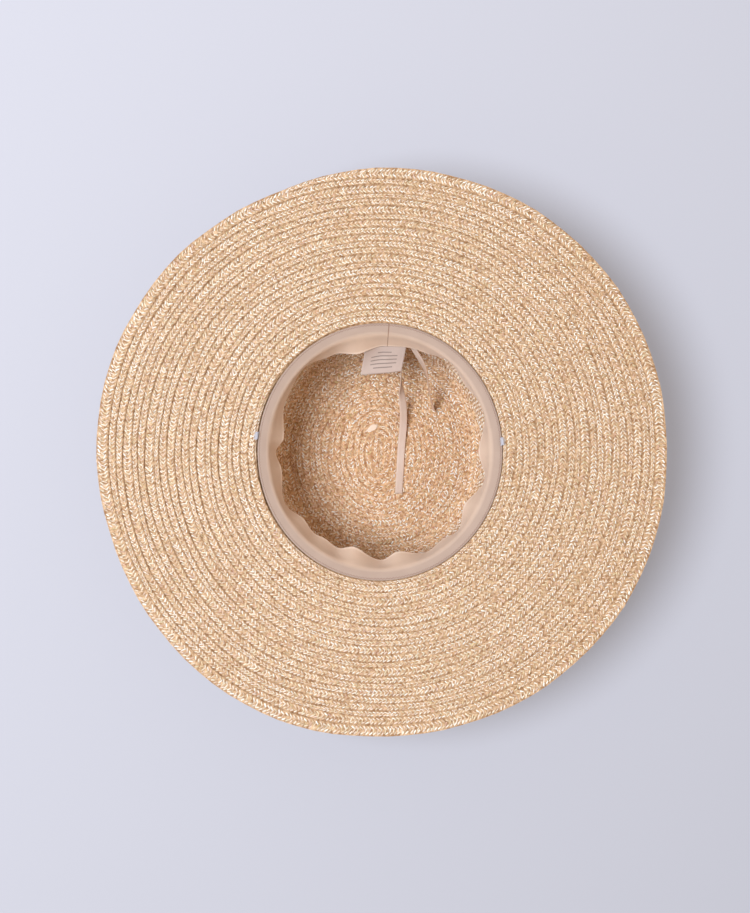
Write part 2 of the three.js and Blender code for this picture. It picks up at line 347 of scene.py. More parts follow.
class Graph:
    """A node tree that is being built."""

    def __init__(self, tree: bpy.types.NodeTree) -> None:
        """Takes the tree."""
        self.tree = tree

    def dress(self, **inputs: object) -> None:
        """Sets the shader's inputs.

        Args:
            **inputs: Values or sockets by the input's name, with _ for a space.
        """
        shader = next(n for n in self.tree.nodes if n.type == "BSDF_PRINCIPLED")
        for key, value in inputs.items():
            self.join(value, shader.inputs[key.replace("_", " ")])

    def join(self, value: object, socket: Socket) -> None:
        """Links a socket to an input, or sets the input to a value.

        Args:
            value: The value or the socket.
            socket: The input.
        """
        if isinstance(value, Socket):
            self.tree.links.new(value, socket)
        else:
            socket.default_value = value

    def add(self, kind: str, *values: object, out: str = "", **named: object) -> Socket:
        """Adds a node.

        Args:
            kind: Its type.
            *values: Values or sockets for its first inputs.
            out: The output wanted, or nothing for the first one.
            **named: Its settings, in small letters, and values or sockets for inputs by their
                name, with _ for a space.

        Returns:
            The output's socket.
        """
        node = self.tree.nodes.new(kind)
        for key, value in named.items():
            if key[0].islower():
                setattr(node, key, value)
        for socket, value in zip(node.inputs, values):
            self.join(value, socket)
        for key, value in named.items():
            if key[0].isupper():
                name = key.replace("_", " ")
                self.join(value, next(s for s in node.inputs if s.enabled and s.name == name))
        return node.outputs[out] if out else next(s for s in node.outputs if s.enabled)

    def maths(self, operation: str, *values: object) -> Socket:
        """The result of a maths node on numbers or sockets."""
        return self.add("ShaderNodeMath", *values, operation=operation)

    def vector(self, operation: str, *values: object, **named: object) -> Socket:
        """The result of a vector maths node."""
        return self.add("ShaderNodeVectorMath", *values, operation=operation, **named)

    def split(self, vector: Socket) -> list[Socket]:
        """The x, y and z of a vector."""
        return list(self.add("ShaderNodeSeparateXYZ", vector).node.outputs)

    def ramp(self, stops: tuple, value: Socket) -> Socket:
        """Adds a colour ramp.

        Args:
            stops: Place and colour (three linear shares) of each stop.
            value: The socket that it reads.

        Returns:
            Its colour.
        """
        colour = self.add("ShaderNodeValToRGB", value)
        elements = colour.node.color_ramp.elements
        while len(elements) < len(stops):
            elements.new(0.5)
        for element, (place, shares) in zip(elements, stops):
            element.position = place
            element.color = (*shares, 1)
        return colour

    def bump(self, height: Socket, strength: float, distance: float) -> None:
        """Joins a height to the shader's normal, as a share and a depth in metres."""
        self.dress(Normal=self.add("ShaderNodeBump", Strength=strength, Distance=distance, Height=height))


@dataclass(frozen=True)
class Finish:
    """What every finish has: its name and how it takes light."""

    name: str
    roughness: float = 0.6
    specular: float = 0.4

    def material(self) -> Paint:
        """Makes the material.

        Returns:
            The material, painted as the finish says.
        """
        made = bpy.data.materials.new(self.name)
        made.use_nodes = True
        graph = Graph(made.node_tree)
        graph.dress(Roughness=self.roughness, Specular_IOR_Level=self.specular)
        self.paint(graph)
        return made

    def paint(self, graph: Graph) -> None:
        """Joins the finish's own nodes to the shader."""
        raise NotImplementedError


@dataclass(frozen=True)
class StrandFinish(Finish):
    """Split straw: a satin strip whose tone and warmth differ from strand to strand, with fine fibres."""

    name: str = "straw_strand"
    roughness: float = 0.34
    gloss_spread: float = 0.26
    specular: float = 0.6
    # Tan to near white: the near-white end is partly painted glint, besides the straw's own paler strands.
    tones: tuple = (
        (0.0, linear(202, 171, 144)),
        (0.25, linear(226, 203, 180)),
        (0.5, linear(240, 224, 208)),
        (0.75, linear(250, 238, 227)),
        (1.0, linear(254, 253, 251)),
    )
    fibre_scale: float = 9.0
    fibre_stretch: tuple = (0.6, 7, 1)
    fibre_share: float = 0.16
    fibre_depth: float = 0.05 * MM
    fibre_bump: float = 0.5
    saturation: float = 0.75
    saturation_rise: float = 0.5
    hue: float = 0.5
    hue_spread: float = 0.014

    def paint(self, graph: Graph) -> None:
        """Reads each strand's tone, warmth and tint and its own map.

        Args:
            graph: The material's tree.
        """
        tone, warmth, tint = (graph.add("ShaderNodeAttribute", out="Fac", attribute_name=key)
                              for key in ("tone", "warmth", "tint"))
        own_map = graph.add("ShaderNodeUVMap", uv_map="Fibre")
        stretched = graph.add("ShaderNodeMapping", own_map, Scale=self.fibre_stretch)
        fibre = graph.add("ShaderNodeTexNoise", Vector=stretched, Scale=self.fibre_scale, Detail=3.0)
        centred = graph.maths("MULTIPLY_ADD", fibre, self.fibre_share, -self.fibre_share / 2)
        colour = graph.ramp(self.tones, graph.maths("ADD", tone, centred))
        strength = graph.maths("MULTIPLY_ADD", warmth, self.saturation_rise, self.saturation)
        hue = graph.maths("MULTIPLY_ADD", tint, self.hue_spread, self.hue)
        warmed = graph.add("ShaderNodeHueSaturation", Color=colour, Saturation=strength, Hue=hue)
        least = self.roughness - self.gloss_spread / 2
        gloss = graph.maths("MULTIPLY_ADD", warmth, self.gloss_spread, least)
        graph.dress(Base_Color=warmed, Roughness=gloss)
        graph.bump(fibre, self.fibre_bump, self.fibre_depth)


@dataclass(frozen=True)
class CoreFinish(Finish):
    """The inside of the plait, painted dark where it shows between the strands and in the seams: painted
    shade.
    """

    name: str = "plait_core"
    roughness: float = 0.7
    specular: float = 0.2
    dark: tuple = linear(152, 114, 81)
    light: tuple = linear(220, 187, 155)
    ends: tuple = (0.35, 0.7)
    scale: float = 420.0
    bump_share: float = 0.6
    bump_depth: float = 0.3 * MM

    def paint(self, graph: Graph) -> None:
        """Mottles the plait by its place on the hat.

        Args:
            graph: The material's tree.
        """
        place = graph.add("ShaderNodeTexCoord", out="Object")
        noise = graph.add("ShaderNodeTexNoise", Vector=place, Scale=self.scale, Detail=2.0)
        colour = graph.ramp(tuple(zip(self.ends, (self.dark, self.light))), noise)
        graph.dress(Base_Color=colour)
        graph.bump(noise, self.bump_share, self.bump_depth)


@dataclass(frozen=True)
class ClothFinish(Finish):
    """Plain woven cloth: two crossing threads along the piece's own map, in metres."""

    name: str = "cloth"
    roughness: float = 0.85
    specular: float = 0.25
    colour: tuple = WHITE
    shade: tuple = WHITE
    thread: float = 0.55 * MM
    unevenness: float = 0.6
    ends: tuple = (0.3, 0.85)
    sheen: float = 0.15
    bump_share: float = 0.7
    bump_depth: float = 0.08 * MM
    blotch_scale: float = 70.0
    weave_share: float = 0.35
    width: float = 28 * MM
    zones: tuple = ((0.0, WHITE), (1.0, WHITE))
    tint: tuple = WHITE

    def tinted(self, graph: Graph, along: Socket) -> Socket:
        """How much of the tint shows at each place along the cloth."""
        raise NotImplementedError

    def marked(self, graph: Graph, colour: Socket, along: Socket, down: Socket) -> Socket:
        """Tones the cloth by its place on the map, in metres.

        Args:
            graph: The material's tree.
            colour: The woven colour.
            along: The place along the cloth.
            down: The place across it.

        Returns:
            The colour to use.
        """
        zone = graph.ramp(self.zones, graph.maths("DIVIDE", down, self.width))
        tint = graph.ramp(((0.0, WHITE), (1.0, self.tint)), self.tinted(graph, along))
        return graph.vector("MULTIPLY", graph.vector("MULTIPLY", colour, zone), tint)

    def paint(self, graph: Graph) -> None:
        """Weaves the cloth in the map's metres.

        Args:
            graph: The material's tree.
        """
        own_map = graph.add("ShaderNodeUVMap", uv_map="Weave")
        waves = [
            graph.add("ShaderNodeTexWave", out="Fac", bands_direction=axis, Vector=own_map,
                      Scale=TURN / WAVE_RATE / self.thread, Distortion=self.unevenness, Detail=1.0)
            for axis in ("X", "Y")
        ]
        weave = graph.maths("MULTIPLY", *waves)
        blotch = graph.add("ShaderNodeTexNoise", Vector=own_map, Scale=self.blotch_scale, Detail=4.0)
        mixed = graph.maths("MULTIPLY_ADD", weave, self.weave_share, blotch)
        colour = graph.ramp(tuple(zip(self.ends, (self.shade, self.colour))), mixed)
        along, down, _ = graph.split(own_map)
        graph.dress(Base_Color=self.marked(graph, colour, along, down), Sheen_Weight=self.sheen)
        graph.bump(weave, self.bump_share, self.bump_depth)


@dataclass(frozen=True)
class BandFinish(ClothFinish):
    """The band's cloth, with a seam across it: painted shade on its upward shelf, painted light on its fall
    and a painted highlight along its free edge.
    """

    name: str = "band_weave"
    shade: tuple = (0.9, 0.89, 0.88)
    # By the share across the cloth: painted shade on the shelf, painted light on the fall, and a painted
    # highlight at the free edge.
    zones: tuple = (
        (0.0, linear(175, 153, 143)),
        (0.34, linear(180, 157, 146)),
        (0.52, linear(220, 193, 176)),
        (0.94, linear(224, 196, 178)),
        (0.965, linear(238, 214, 199)),
    )
    seam_at: float = 136.6 * MM
    seam_width: float = 0.42 * MM
    tint: tuple = (0.64, 0.53, 0.47)

    def tinted(self, graph: Graph, along: Socket) -> Socket:
        """Where the seam is."""
        return graph.maths("COMPARE", along, self.seam_at, self.seam_width)


@dataclass(frozen=True)
class LabelFinish(ClothFinish):
    """The label's satin with a few plain rules: how far down each lies and half its length, in mm."""

    name: str = "label_weave"
    colour: tuple = linear(200, 182, 177)
    shade: tuple = linear(186, 166, 160)
    roughness: float = 0.45
    specular: float = 0.5
    thread: float = 0.3 * MM
    bump_depth: float = 0.03 * MM
    rules: tuple = ((5.5, 5.0), (8.5, 9.5), (11.5, 9.5), (14.5, 9.5), (17.5, 7.0))
    rule_middle: float = 15.5 * MM
    rule_half: float = 0.45 * MM
    rule_depth: float = 0.5

    def marked(self, graph: Graph, colour: Socket, along: Socket, down: Socket) -> Socket:
        """Adds the rules.

        Args:
            graph: The material's tree.
            colour: The woven colour.
            along: The place along the label.
            down: The place down it.

        Returns:
            The colour to use.
        """
        for place, half in self.rules:
            wide = graph.maths("COMPARE", along, self.rule_middle, half * MM)
            thin = graph.maths("COMPARE", down, place * MM, self.rule_half)
            both = graph.maths("MULTIPLY", wide, thin)
            paler = graph.maths("MULTIPLY_ADD", both, -self.rule_depth, 1.0)
            colour = graph.vector("MULTIPLY", colour, paler)
        return colour


@dataclass(frozen=True)
class TapeFinish(ClothFinish):
    """The tape's cloth, paler along its edges, with painted shade along it past a set distance, where it
    lies in the crown's shadow.
    """

    name: str = "tape_weave"
    colour: tuple = linear(218, 195, 184)
    shade: tuple = linear(205, 178, 164)
    roughness: float = 0.6
    thread: float = 0.4 * MM
    width: float = 5.8 * MM
    zones: tuple = (
        (0.0, WHITE), (0.12, (0.98, 0.97, 0.96)), (0.25, (0.9, 0.9, 0.9)),
        (0.75, (0.9, 0.9, 0.9)), (0.88, (0.98, 0.97, 0.96)),
    )
    # Painted shade, in the tint's colour, grows from the first distance along the tape to the second.
    deep_from: float = 1.0
    deep_to: float = 2.0
    tint: tuple = (0.93, 0.77, 0.62)

    def tinted(self, graph: Graph, along: Socket) -> Socket:
        """How much painted shade shows at each place along the tape."""
        way = graph.maths("SUBTRACT", along, self.deep_from)
        return graph.maths("DIVIDE", way, self.deep_to - self.deep_from)


@dataclass(frozen=True)
class FloorFinish(Finish):
    """The pale paper floor, with a painted glow that lifts its shade and painted light that is brighter to
    the left and the top.
    """

    name: str = "pale_floor"
    roughness: float = 0.9
    specular: float = 0.1
    colour: tuple = (0.357, 0.356, 0.415)
    # A painted glow, not a lamp: it lifts the floor's shade. The two rises below are painted light falloff.
    glow: tuple = (0.213, 0.212, 0.234)
    rise_right: float = -0.13
    rise_up: float = 0.16

    def paint(self, graph: Graph) -> None:
        """Colours the paper and its painted glow, with painted light that is brighter to the left and the
        top.

        Args:
            graph: The material's tree.
        """
        right, up, _ = graph.split(graph.add("ShaderNodeTexCoord", out="Object"))
        level = graph.maths("MULTIPLY_ADD", right, self.rise_right, 1.0)
        level = graph.maths("MULTIPLY_ADD", up, self.rise_up, level)
        colour, glow = (graph.vector("MULTIPLY", level, c) for c in (self.colour, self.glow))
        graph.dress(Base_Color=colour, Emission_Color=glow, Emission_Strength=1.0)


@dataclass(frozen=True)
class ThreadFinish(Finish):
    """Sewing thread of one colour."""

    name: str = "thread"
    roughness: float = 0.55
    specular: float = 0.35
    colour: tuple = linear(190, 190, 204)

    def paint(self, graph: Graph) -> None:
        """Sets the colour."""
        graph.dress(Base_Color=(*self.colour, 1))


class Weaver:
    """A Geometry Nodes tree that turns points or lines into a plain piece."""

    def __init__(self, name: str, **kinds: str) -> None:
        """Opens the tree.

        Args:
            name: The tree's name.
            **kinds: The kind of each named input, besides the geometry and the finish.
        """
        self.tree = bpy.data.node_groups.new(name, "GeometryNodeTree")
        face = self.tree.interface
        for key, kind in {"Geometry": "Geometry", **kinds, "Material": "Material"}.items():
            face.new_socket(key, in_out="INPUT", socket_type=f"NodeSocket{kind}")
        face.new_socket("Geometry", in_out="OUTPUT", socket_type="NodeSocketGeometry")
        self.graph = Graph(self.tree)
        self.source = self.tree.nodes.new("NodeGroupInput").outputs

    def close(self, geometry: Socket) -> None:
        """Ends the tree with the finish."""
        dressed = self.graph.add("GeometryNodeSetMaterial", geometry, Material=self.source["Material"])
        self.graph.join(dressed, self.tree.nodes.new("NodeGroupOutput").inputs["Geometry"])

    def run(self, carrier: Body, name: str, **inputs: object) -> Body:
        """Runs the tree on an object, which is then removed.

        Args:
            carrier: The object with the points or lines.
            name: The new piece's name.
            **inputs: The value of each named input.

        Returns:
            A plain mesh object at the origin.
        """
        modifier = carrier.modifiers.new(self.tree.name, "NODES")
        modifier.node_group = self.tree
        sockets = {s.name: s.identifier for s in self.tree.interface.items_tree if s.in_out == "INPUT"}
        for key, value in inputs.items():
            modifier[sockets[key]] = value
        graph = bpy.context.evaluated_depsgraph_get()
        mesh = bpy.data.meshes.new_from_object(carrier.evaluated_get(graph), preserve_all_data_layers=True,
                                               depsgraph=graph)
        carrier.modifiers.clear()
        bpy.data.objects.remove(carrier)
        mesh.name = name
        mesh.shade_smooth()
        return linked(name, mesh)


class PlaitNodes(Weaver):
    """The tree that lays chevrons of straw along a row."""

    SIZES = {"Roll": 0.14, "Turn": 0.3, "Slip": 0.4 * MM, "Rise": 0.12 * MM}
    FLAT = ((0, 0), (0, 1), (1, 1), (1, 0), (0.2, 0.5), (0.8, 0.5))
    CELL_FILL = (0.8, 0.8, 0)
    CELL_INSET = (0.1, 0.1, 0)

    def __init__(self, straw: Straw) -> None:
        """Builds the tree and the strands that it lays.

        Args:
            straw: Sizes of the strands.
        """
        names = {arm: arm.name.capitalize() for arm in Arm}
        kinds = dict.fromkeys(names.values(), "Object") | dict.fromkeys(self.SIZES, "Float")
        super().__init__("plait", **kinds)
        self.strands = {names[arm]: self.strand(arm, straw) for arm in Arm}
        joined = self.tree.nodes.new("GeometryNodeJoinGeometry")
        for arm in Arm:
            self.graph.join(self.lay(arm, self.source[names[arm]]), joined.inputs["Geometry"])
        real = self.graph.add("GeometryNodeRealizeInstances", joined.outputs["Geometry"])
        self.close(self.own_cells(real))

    def strand(self, arm: Arm, straw: Straw) -> Body:
        """One arm of a chevron: a low pillow of straw with a ridge.

        Args:
            arm: Which set of strands it is for.
            straw: Sizes of the plait.

        Returns:
            A helper object for a row of width one, which is removed once the rows are laid.
        """
        lay = arm.value
        start = np.array([lay.reach, -lay.swing])
        end = -start
        along = unit(end - start)
        side = np.array([-along[1], along[0]]) * lay.width / 2
        first, last = along * straw.strand_tip * lay.width, along * lay.blunt * lay.width
        plan = [start - side, start + side, end + side, end - side, start + first, end - last]
        heights = [-straw.strand_root] * 4 + [lay.lift] * 2
        points = np.array([(*p, h) for p, h in zip(plan, heights)])
        faces = [(3, 2, 1, 0), (0, 1, 4), (1, 2, 5, 4), (2, 3, 5), (3, 0, 4, 5)]
        made = mesh_object(f"strand_{arm.name.lower()}", points, faces)
        layer = made.data.uv_layers.new(name="Fibre")
        for loop in made.data.loops:
            layer.data[loop.index].uv = self.FLAT[loop.vertex_index]
        return made

    def read(self, name: str, kind: str = "FLOAT_VECTOR") -> Socket:
        """Reads an attribute of the points."""
        return self.graph.add("GeometryNodeInputNamedAttribute", data_type=kind, Name=name)

    def chance(self, seed: int, x: object, y: object, low: object, high: object) -> Socket:
        """A seeded random vector.

        Args:
            seed: The fixed seed.
            x: How far its x goes either way.
            y: How far its y goes either way.
            low: Its least z.
            high: Its greatest z.

        Returns:
            The vector's socket.
        """
        back = [self.graph.maths("MULTIPLY", size, -1.0) for size in (x, y)]
        ends = [self.graph.add("ShaderNodeCombineXYZ", *xyz) for xyz in ((*back, low), (x, y, high))]
        return self.graph.add("FunctionNodeRandomValue", data_type="FLOAT_VECTOR", Min=ends[0],
                              Max=ends[1], Seed=seed)

    def lay(self, arm: Arm, strand: Socket) -> Socket:
        """Lays one strand at each point of a row.

        Args:
            arm: Which set of strands.
            strand: The helper object's socket.

        Returns:
            The instances' geometry socket.
        """
        add, source = self.graph.add, self.source
        number = arm.value.number
        turn = add("FunctionNodeAxesToRotation", self.read("along"), self.read("facing"),
                   primary_axis="X", secondary_axis="Z")
        chosen = self.graph.maths("COMPARE", self.read("arm", "FLOAT"), float(number), 0.5)
        laid = add("GeometryNodeInstanceOnPoints", Points=source["Geometry"], Selection=chosen,
                   Instance=add("GeometryNodeObjectInfo", out="Geometry", Object=strand),
                   Rotation=turn, Scale=self.read("size"))
        seed, twist = 10 * number, source["Turn"]
        back = self.graph.maths("MULTIPLY", twist, -1.0)
        turned = self.chance(seed + 1, source["Roll"], source["Roll"], back, twist)
        rolled = add("GeometryNodeRotateInstances", Instances=laid, Rotation=turned)
        moved = self.chance(seed + 2, source["Slip"], 0.0, 0.0, source["Rise"])
        return add("GeometryNodeTranslateInstances", Instances=rolled, Translation=moved)

    def own_cells(self, geometry: Socket) -> Socket:
        """Gives each strand a cell of its own on the map for its colours.

        Args:
            geometry: The real strands.

        Returns:
            The geometry socket with the maps.
        """
        vector = self.graph.vector
        inset = vector("MULTIPLY_ADD", self.read("Fibre"), self.CELL_FILL, self.CELL_INSET)
        placed = vector("ADD", inset, self.read("cell"))
        shrunk = vector("SCALE", placed, Scale=self.read("cell_size", "FLOAT"))
        for name, value in (("OFBake", shrunk), ("Fibre", placed)):
            geometry = self.graph.add("GeometryNodeStoreNamedAttribute", data_type="FLOAT2", domain="CORNER",
                                      Geometry=geometry, Name=name, Value=value)
        return geometry

    def clear(self) -> None:
        """Removes the helper strands."""
        for strand in self.strands.values():
            bpy.data.objects.remove(strand)


class ThreadNodes(Weaver):
    """The tree that turns lines into round thread."""

    SIDES = 6

    def __init__(self) -> None:
        """Builds the tree, whose inputs are the lines, the thread's radius and its finish."""
        super().__init__("thread", Radius="Float")
        add = self.graph.add
        circle = add("GeometryNodeCurvePrimitiveCircle", Resolution=self.SIDES, Radius=self.source["Radius"])
        tube = add("GeometryNodeCurveToMesh", Curve=add("GeometryNodeMeshToCurve", self.source["Geometry"]),
                   Profile_Curve=circle, Fill_Caps=True)
        self.close(add("GeometryNodeRealizeInstances", tube))

    def sew(self, name: str, points: Array, closed: bool, radius: float, material: Paint) -> Body:
        """Makes thread along one line.

        Args:
            name: The piece's name.
            points: The line's points in order.
            closed: Whether the last point joins the first.
            radius: The thread's radius.
            material: The thread's finish.

        Returns:
            A plain mesh object.
        """
        count = len(points)
        edges = [(i, (i + 1) % count) for i in range(count if closed else count - 1)]
        carrier = mesh_object(f"{name}_line", points, [], edges)
        made = self.run(carrier, name, Radius=radius, Material=material)
        face_out(made.data)
        return made


@dataclass
class RowPoints:
    """Points along the rows of plait, one for each strand, with what the strand needs to know."""

    points: Array
    along: Array
    facing: Array
    size: Array
    arm: Array
    tone: Array
    warmth: Array
    tint: Array

    def carrier(self, name: str) -> Body:
        """A mesh of loose points with the attributes.

        Args:
            name: The piece's name.

        Returns:
            The object that the Geometry Nodes run on.
        """
        made = mesh_object(f"{name}_rows", self.points, [])
        index = np.arange(len(self.points))
        across = math.ceil(math.sqrt(len(index)))
        store(made.data, "cell", np.stack([index % across, index // across, 0 * index], axis=-1))
        store(made.data, "cell_size", np.full(len(index), 1 / across))
        for kept in fields(self)[1:]:
            store(made.data, kept.name, getattr(self, kept.name))
        return made

    def part(self, keep: Array) -> "RowPoints":
        """The points where keep is true."""
        return RowPoints(*(getattr(self, f.name)[keep] for f in fields(self)))

    @classmethod
    def joined(cls, parts: list["RowPoints"]) -> "RowPoints":
        """All the points of several sets."""
        return cls(*(np.concatenate([getattr(p, f.name) for p in parts]) for f in fields(cls)))


@dataclass
class PlaitedWall:
    """A wall of plait sewn in a spiral, each row lapping the one before it.

    Its methods take turns of the spiral, and give distances along the wall from its start.
    """

    form: HatForm
    straw: Straw
    name: str = "wall"
    row: float = PLAIT_ROW
    rise: float = 0.17
    first_turn: float = -1
    last_turn: float = 0
    length: float = 0
    end_angle: float = math.radians(110)
    plait: float = 8.2 * MM
    least_width: float = 0.05 * MM
    least_shown: float = 0.2 * PLAIT_ROW
    wobble: float = 0.6 * MM
    wave_sizes: tuple = ((2.3, 1.0), (4.6, 0.8), (8.9, 0.35), (15.4, 0.25), (31.7, 0.2))
    seed: int = 3
    strand_seed: int = 7
    steps: int = 96
    fine_steps: int = 360
    shares: tuple = tuple(np.linspace(0, 1, 4))
    patch_knots: tuple = ((7 * MM, 0.5), (26 * MM, 0.5))
    patch_share: float = 0.38
    tone: float = 0.5
    tone_spread: float = 0.3
    warmth: float = 0.5
    warmth_share: float = 0.8
    warmth_spread: float = 0.22
    warmth_limit: float = 1.4
    tint_limit: float = 2.4
    half_step: float = 0.5 * MM
    turn_step: float = 1e-3
    size_spread: tuple = ((0.8, 1.15), (0.88, 1.1), (0.75, 1.3))
    waves: list = field(default_factory=list)

    def __post_init__(self) -> None:
        """Draws the phases of the rows' small waves."""
        chance = np.random.default_rng(self.seed)
        self.waves = [(rate, chance.uniform(0, TURN), size) for rate, size in self.wave_sizes]

    def line(self, turn: Array) -> Array:
        """How far along the wall the plait's inner edge lies."""
        swing = sum(size * np.sin(TURN * rate * turn + phase) for rate, phase, size in self.waves)
        return self.row * turn + self.wobble * swing

    def width(self, turn: Array) -> Array:
        """Width of the plait at each turn."""
        return np.full_like(turn, self.plait)

    def limit(self, turn: Array) -> Array:
        """How far along the wall straw may lie at each turn."""
        return np.full_like(turn, self.length)

    def angle(self, turn: Array) -> Array:
        """Polar angle at each turn, in radians."""
        return self.end_angle + TURN * turn

    def place(self, turn: Array, along: Array, lift: Array) -> Array:
        """Positions on the wall, at a height over its inner face, towards the head."""
        raise NotImplementedError

    def sink(self, turn: Array, along: Array) -> Array:
        """How deep the plait's face lies under the wall's inner face."""
        return self.straw.lift + self.rise * (along - self.line(turn))

    def apart(self, along: Array) -> Array:
        """How much of its row each strand fills, so that the core's painted shade shows in the seams."""
        return np.ones_like(along)

    def open_to_view(self, points: Array, face: Face) -> Array:
        """Which strands no other piece covers."""
        return np.ones(len(points), dtype=bool)

    def on_face(self, turn: Array, along: Array, face: Face) -> Array:
        """Positions on one of the plait's own faces."""
        depth = self.sink(turn, along) + (self.straw.core if face is Face.OUTER else 0)
        return self.place(turn, along, -depth)

    def visible(self, turn: Array, face: Face) -> tuple[Array, Array]:
        """The stretch of each row that no other row covers on a face.

        Args:
            turn: Turns of the spiral.
            face: The face.

        Returns:
            Where it starts and where it ends.
        """
        top = self.limit(turn)
        own = self.line(turn) + self.width(turn)
        if face is Face.HEAD:
            end = np.where(turn + 1 > self.last_turn, own, self.line(turn + 1))
            return np.clip(self.line(turn), 0, self.length), np.clip(end, 0, top)
        before = self.line(turn - 1) + self.plait
        return np.clip(before, 0, top), np.clip(np.maximum(own, before), 0, top)

    def core(self, material: Paint) -> Body:
        """The plait itself as one long closed strip, wound up.

        Args:
            material: Its finish.

        Returns:
            The mesh object.
        """
        count = round((self.last_turn - self.first_turn) * self.steps)
        turn = np.linspace(self.first_turn, self.last_turn, count)
        start = np.clip(self.line(turn), 0, self.length)
        end = np.clip(self.line(turn) + self.width(turn), 0, self.limit(turn))
        end = np.maximum(end, start + self.least_width)
        rings = []
        for thick, shares in ((0, self.shares), (self.straw.core, self.shares[::-1])):
            for share in shares:
                along = start + (end - start) * share
                rings.append(self.place(turn, along, -self.sink(turn, along) - thick))
        return wound(f"{self.name}_core", np.stack(rings, axis=1), material, smooth=False)

    def patches(self, length: float, chance: np.random.Generator) -> Callable[[Array], Array]:
        """Tone that changes slowly along the plait.

        Args:
            length: The plait's length.
            chance: The seeded source.

        Returns:
            A function from distances along the plait to shares from 0 to 1.
        """
        layers = []
        for size, weight in self.patch_knots:
            knots = np.arange(0, length + 2 * size, size)
            layers.append((knots, chance.random(len(knots)), weight))
        return lambda stops: sum(weight * np.interp(stops, knots, drawn) for knots, drawn, weight in layers)

    def rows(self, face: Face) -> RowPoints:
        """Points for the strands of one face.

        Args:
            face: The face that they lie on.

        Returns:
            The points, each strand's step apart along the spiral, for all arms.
        """
        count = round(self.fine_steps * (self.last_turn - self.first_turn))
        fine = np.linspace(self.first_turn, self.last_turn, count)
        start, end = self.visible(fine, face)
        middle = self.on_face(fine, (start + end) / 2, face)
        length = np.concatenate([[0], np.cumsum(np.linalg.norm(np.diff(middle, axis=0), axis=1))])
        chance = np.random.default_rng(self.seed + self.strand_seed + face.value)
        patches = self.patches(length[-1], chance)
        step = self.straw.strand_step
        found = []
        for arm in Arm:
            stops = np.arange(step * (1 + arm.value.offset), length[-1], step)
            turn = np.interp(stops, length, fine)
            found.append(self.strands(turn, face, arm, patches(stops) - 0.5, chance))
        return RowPoints.joined(found)

    def strands(self, turn: Array, face: Face, arm: Arm, patch: Array,
                chance: np.random.Generator) -> RowPoints:
        """Points for one arm of the chevrons.

        Args:
            turn: Turns of the spiral where the strands lie.
            face: The face that they lie on.
            arm: Which arm they are.
            patch: The plait's slow change of tone there, from -0.5 to 0.5.
            chance: The seeded source.

        Returns:
            The points, at the middle of each strand.
        """
        start, end = self.visible(turn, face)
        edge, tucked = (start, end) if face is Face.HEAD else (end, start)
        shown = np.abs(tucked - edge)
        apart = self.apart(edge)
        place = edge + np.sign(tucked - edge) * (0.5 + (arm.value.place - 0.5) * apart) * shown
        half, ahead = self.half_step, self.turn_step
        outward = self.on_face(turn, place + half, face) - self.on_face(turn, place - half, face)
        along = unit(self.on_face(turn + ahead, place, face) - self.on_face(turn - ahead, place, face))
        facing = unit(np.cross(outward, along)) * face.value
        count = len(turn)
        size = np.stack([chance.uniform(*ends, count) for ends in self.size_spread], axis=-1)
        size[:, 1] *= shown / PLAIT_ROW * apart
        tone = self.tone + arm.value.paler + self.patch_share * patch
        tone = tone + self.tone_spread * chance.standard_normal(count)
        warmth = self.warmth - self.warmth_share * patch + self.warmth_spread * chance.standard_normal(count)
        tint = np.clip(chance.standard_normal(count), -self.tint_limit, self.tint_limit)
        found = RowPoints(
            self.on_face(turn, place, face), along, facing, size, np.full(count, arm.value.number),
            np.clip(tone, 0, 1), np.clip(warmth, 0, self.warmth_limit), tint,
        )
        return found.part((shown > self.least_shown) & self.open_to_view(found.points, face))

    def build(self, nodes: PlaitNodes, strand: Paint, core: Paint) -> None:
        """Makes the wall's pieces and puts them on the hat.

        Args:
            nodes: The tree that lays the strands.
            strand: The strands' finish.
            core: The plait's finish between the strands.
        """
        seat(self.core(core), self.name)
        for face in Face:
            name = f"{self.name}_strands_{face.name.lower()}"
            carrier = self.rows(face).carrier(name)
            piece = nodes.run(carrier, name, Material=strand, **nodes.strands, **nodes.SIZES)
            seat(piece)


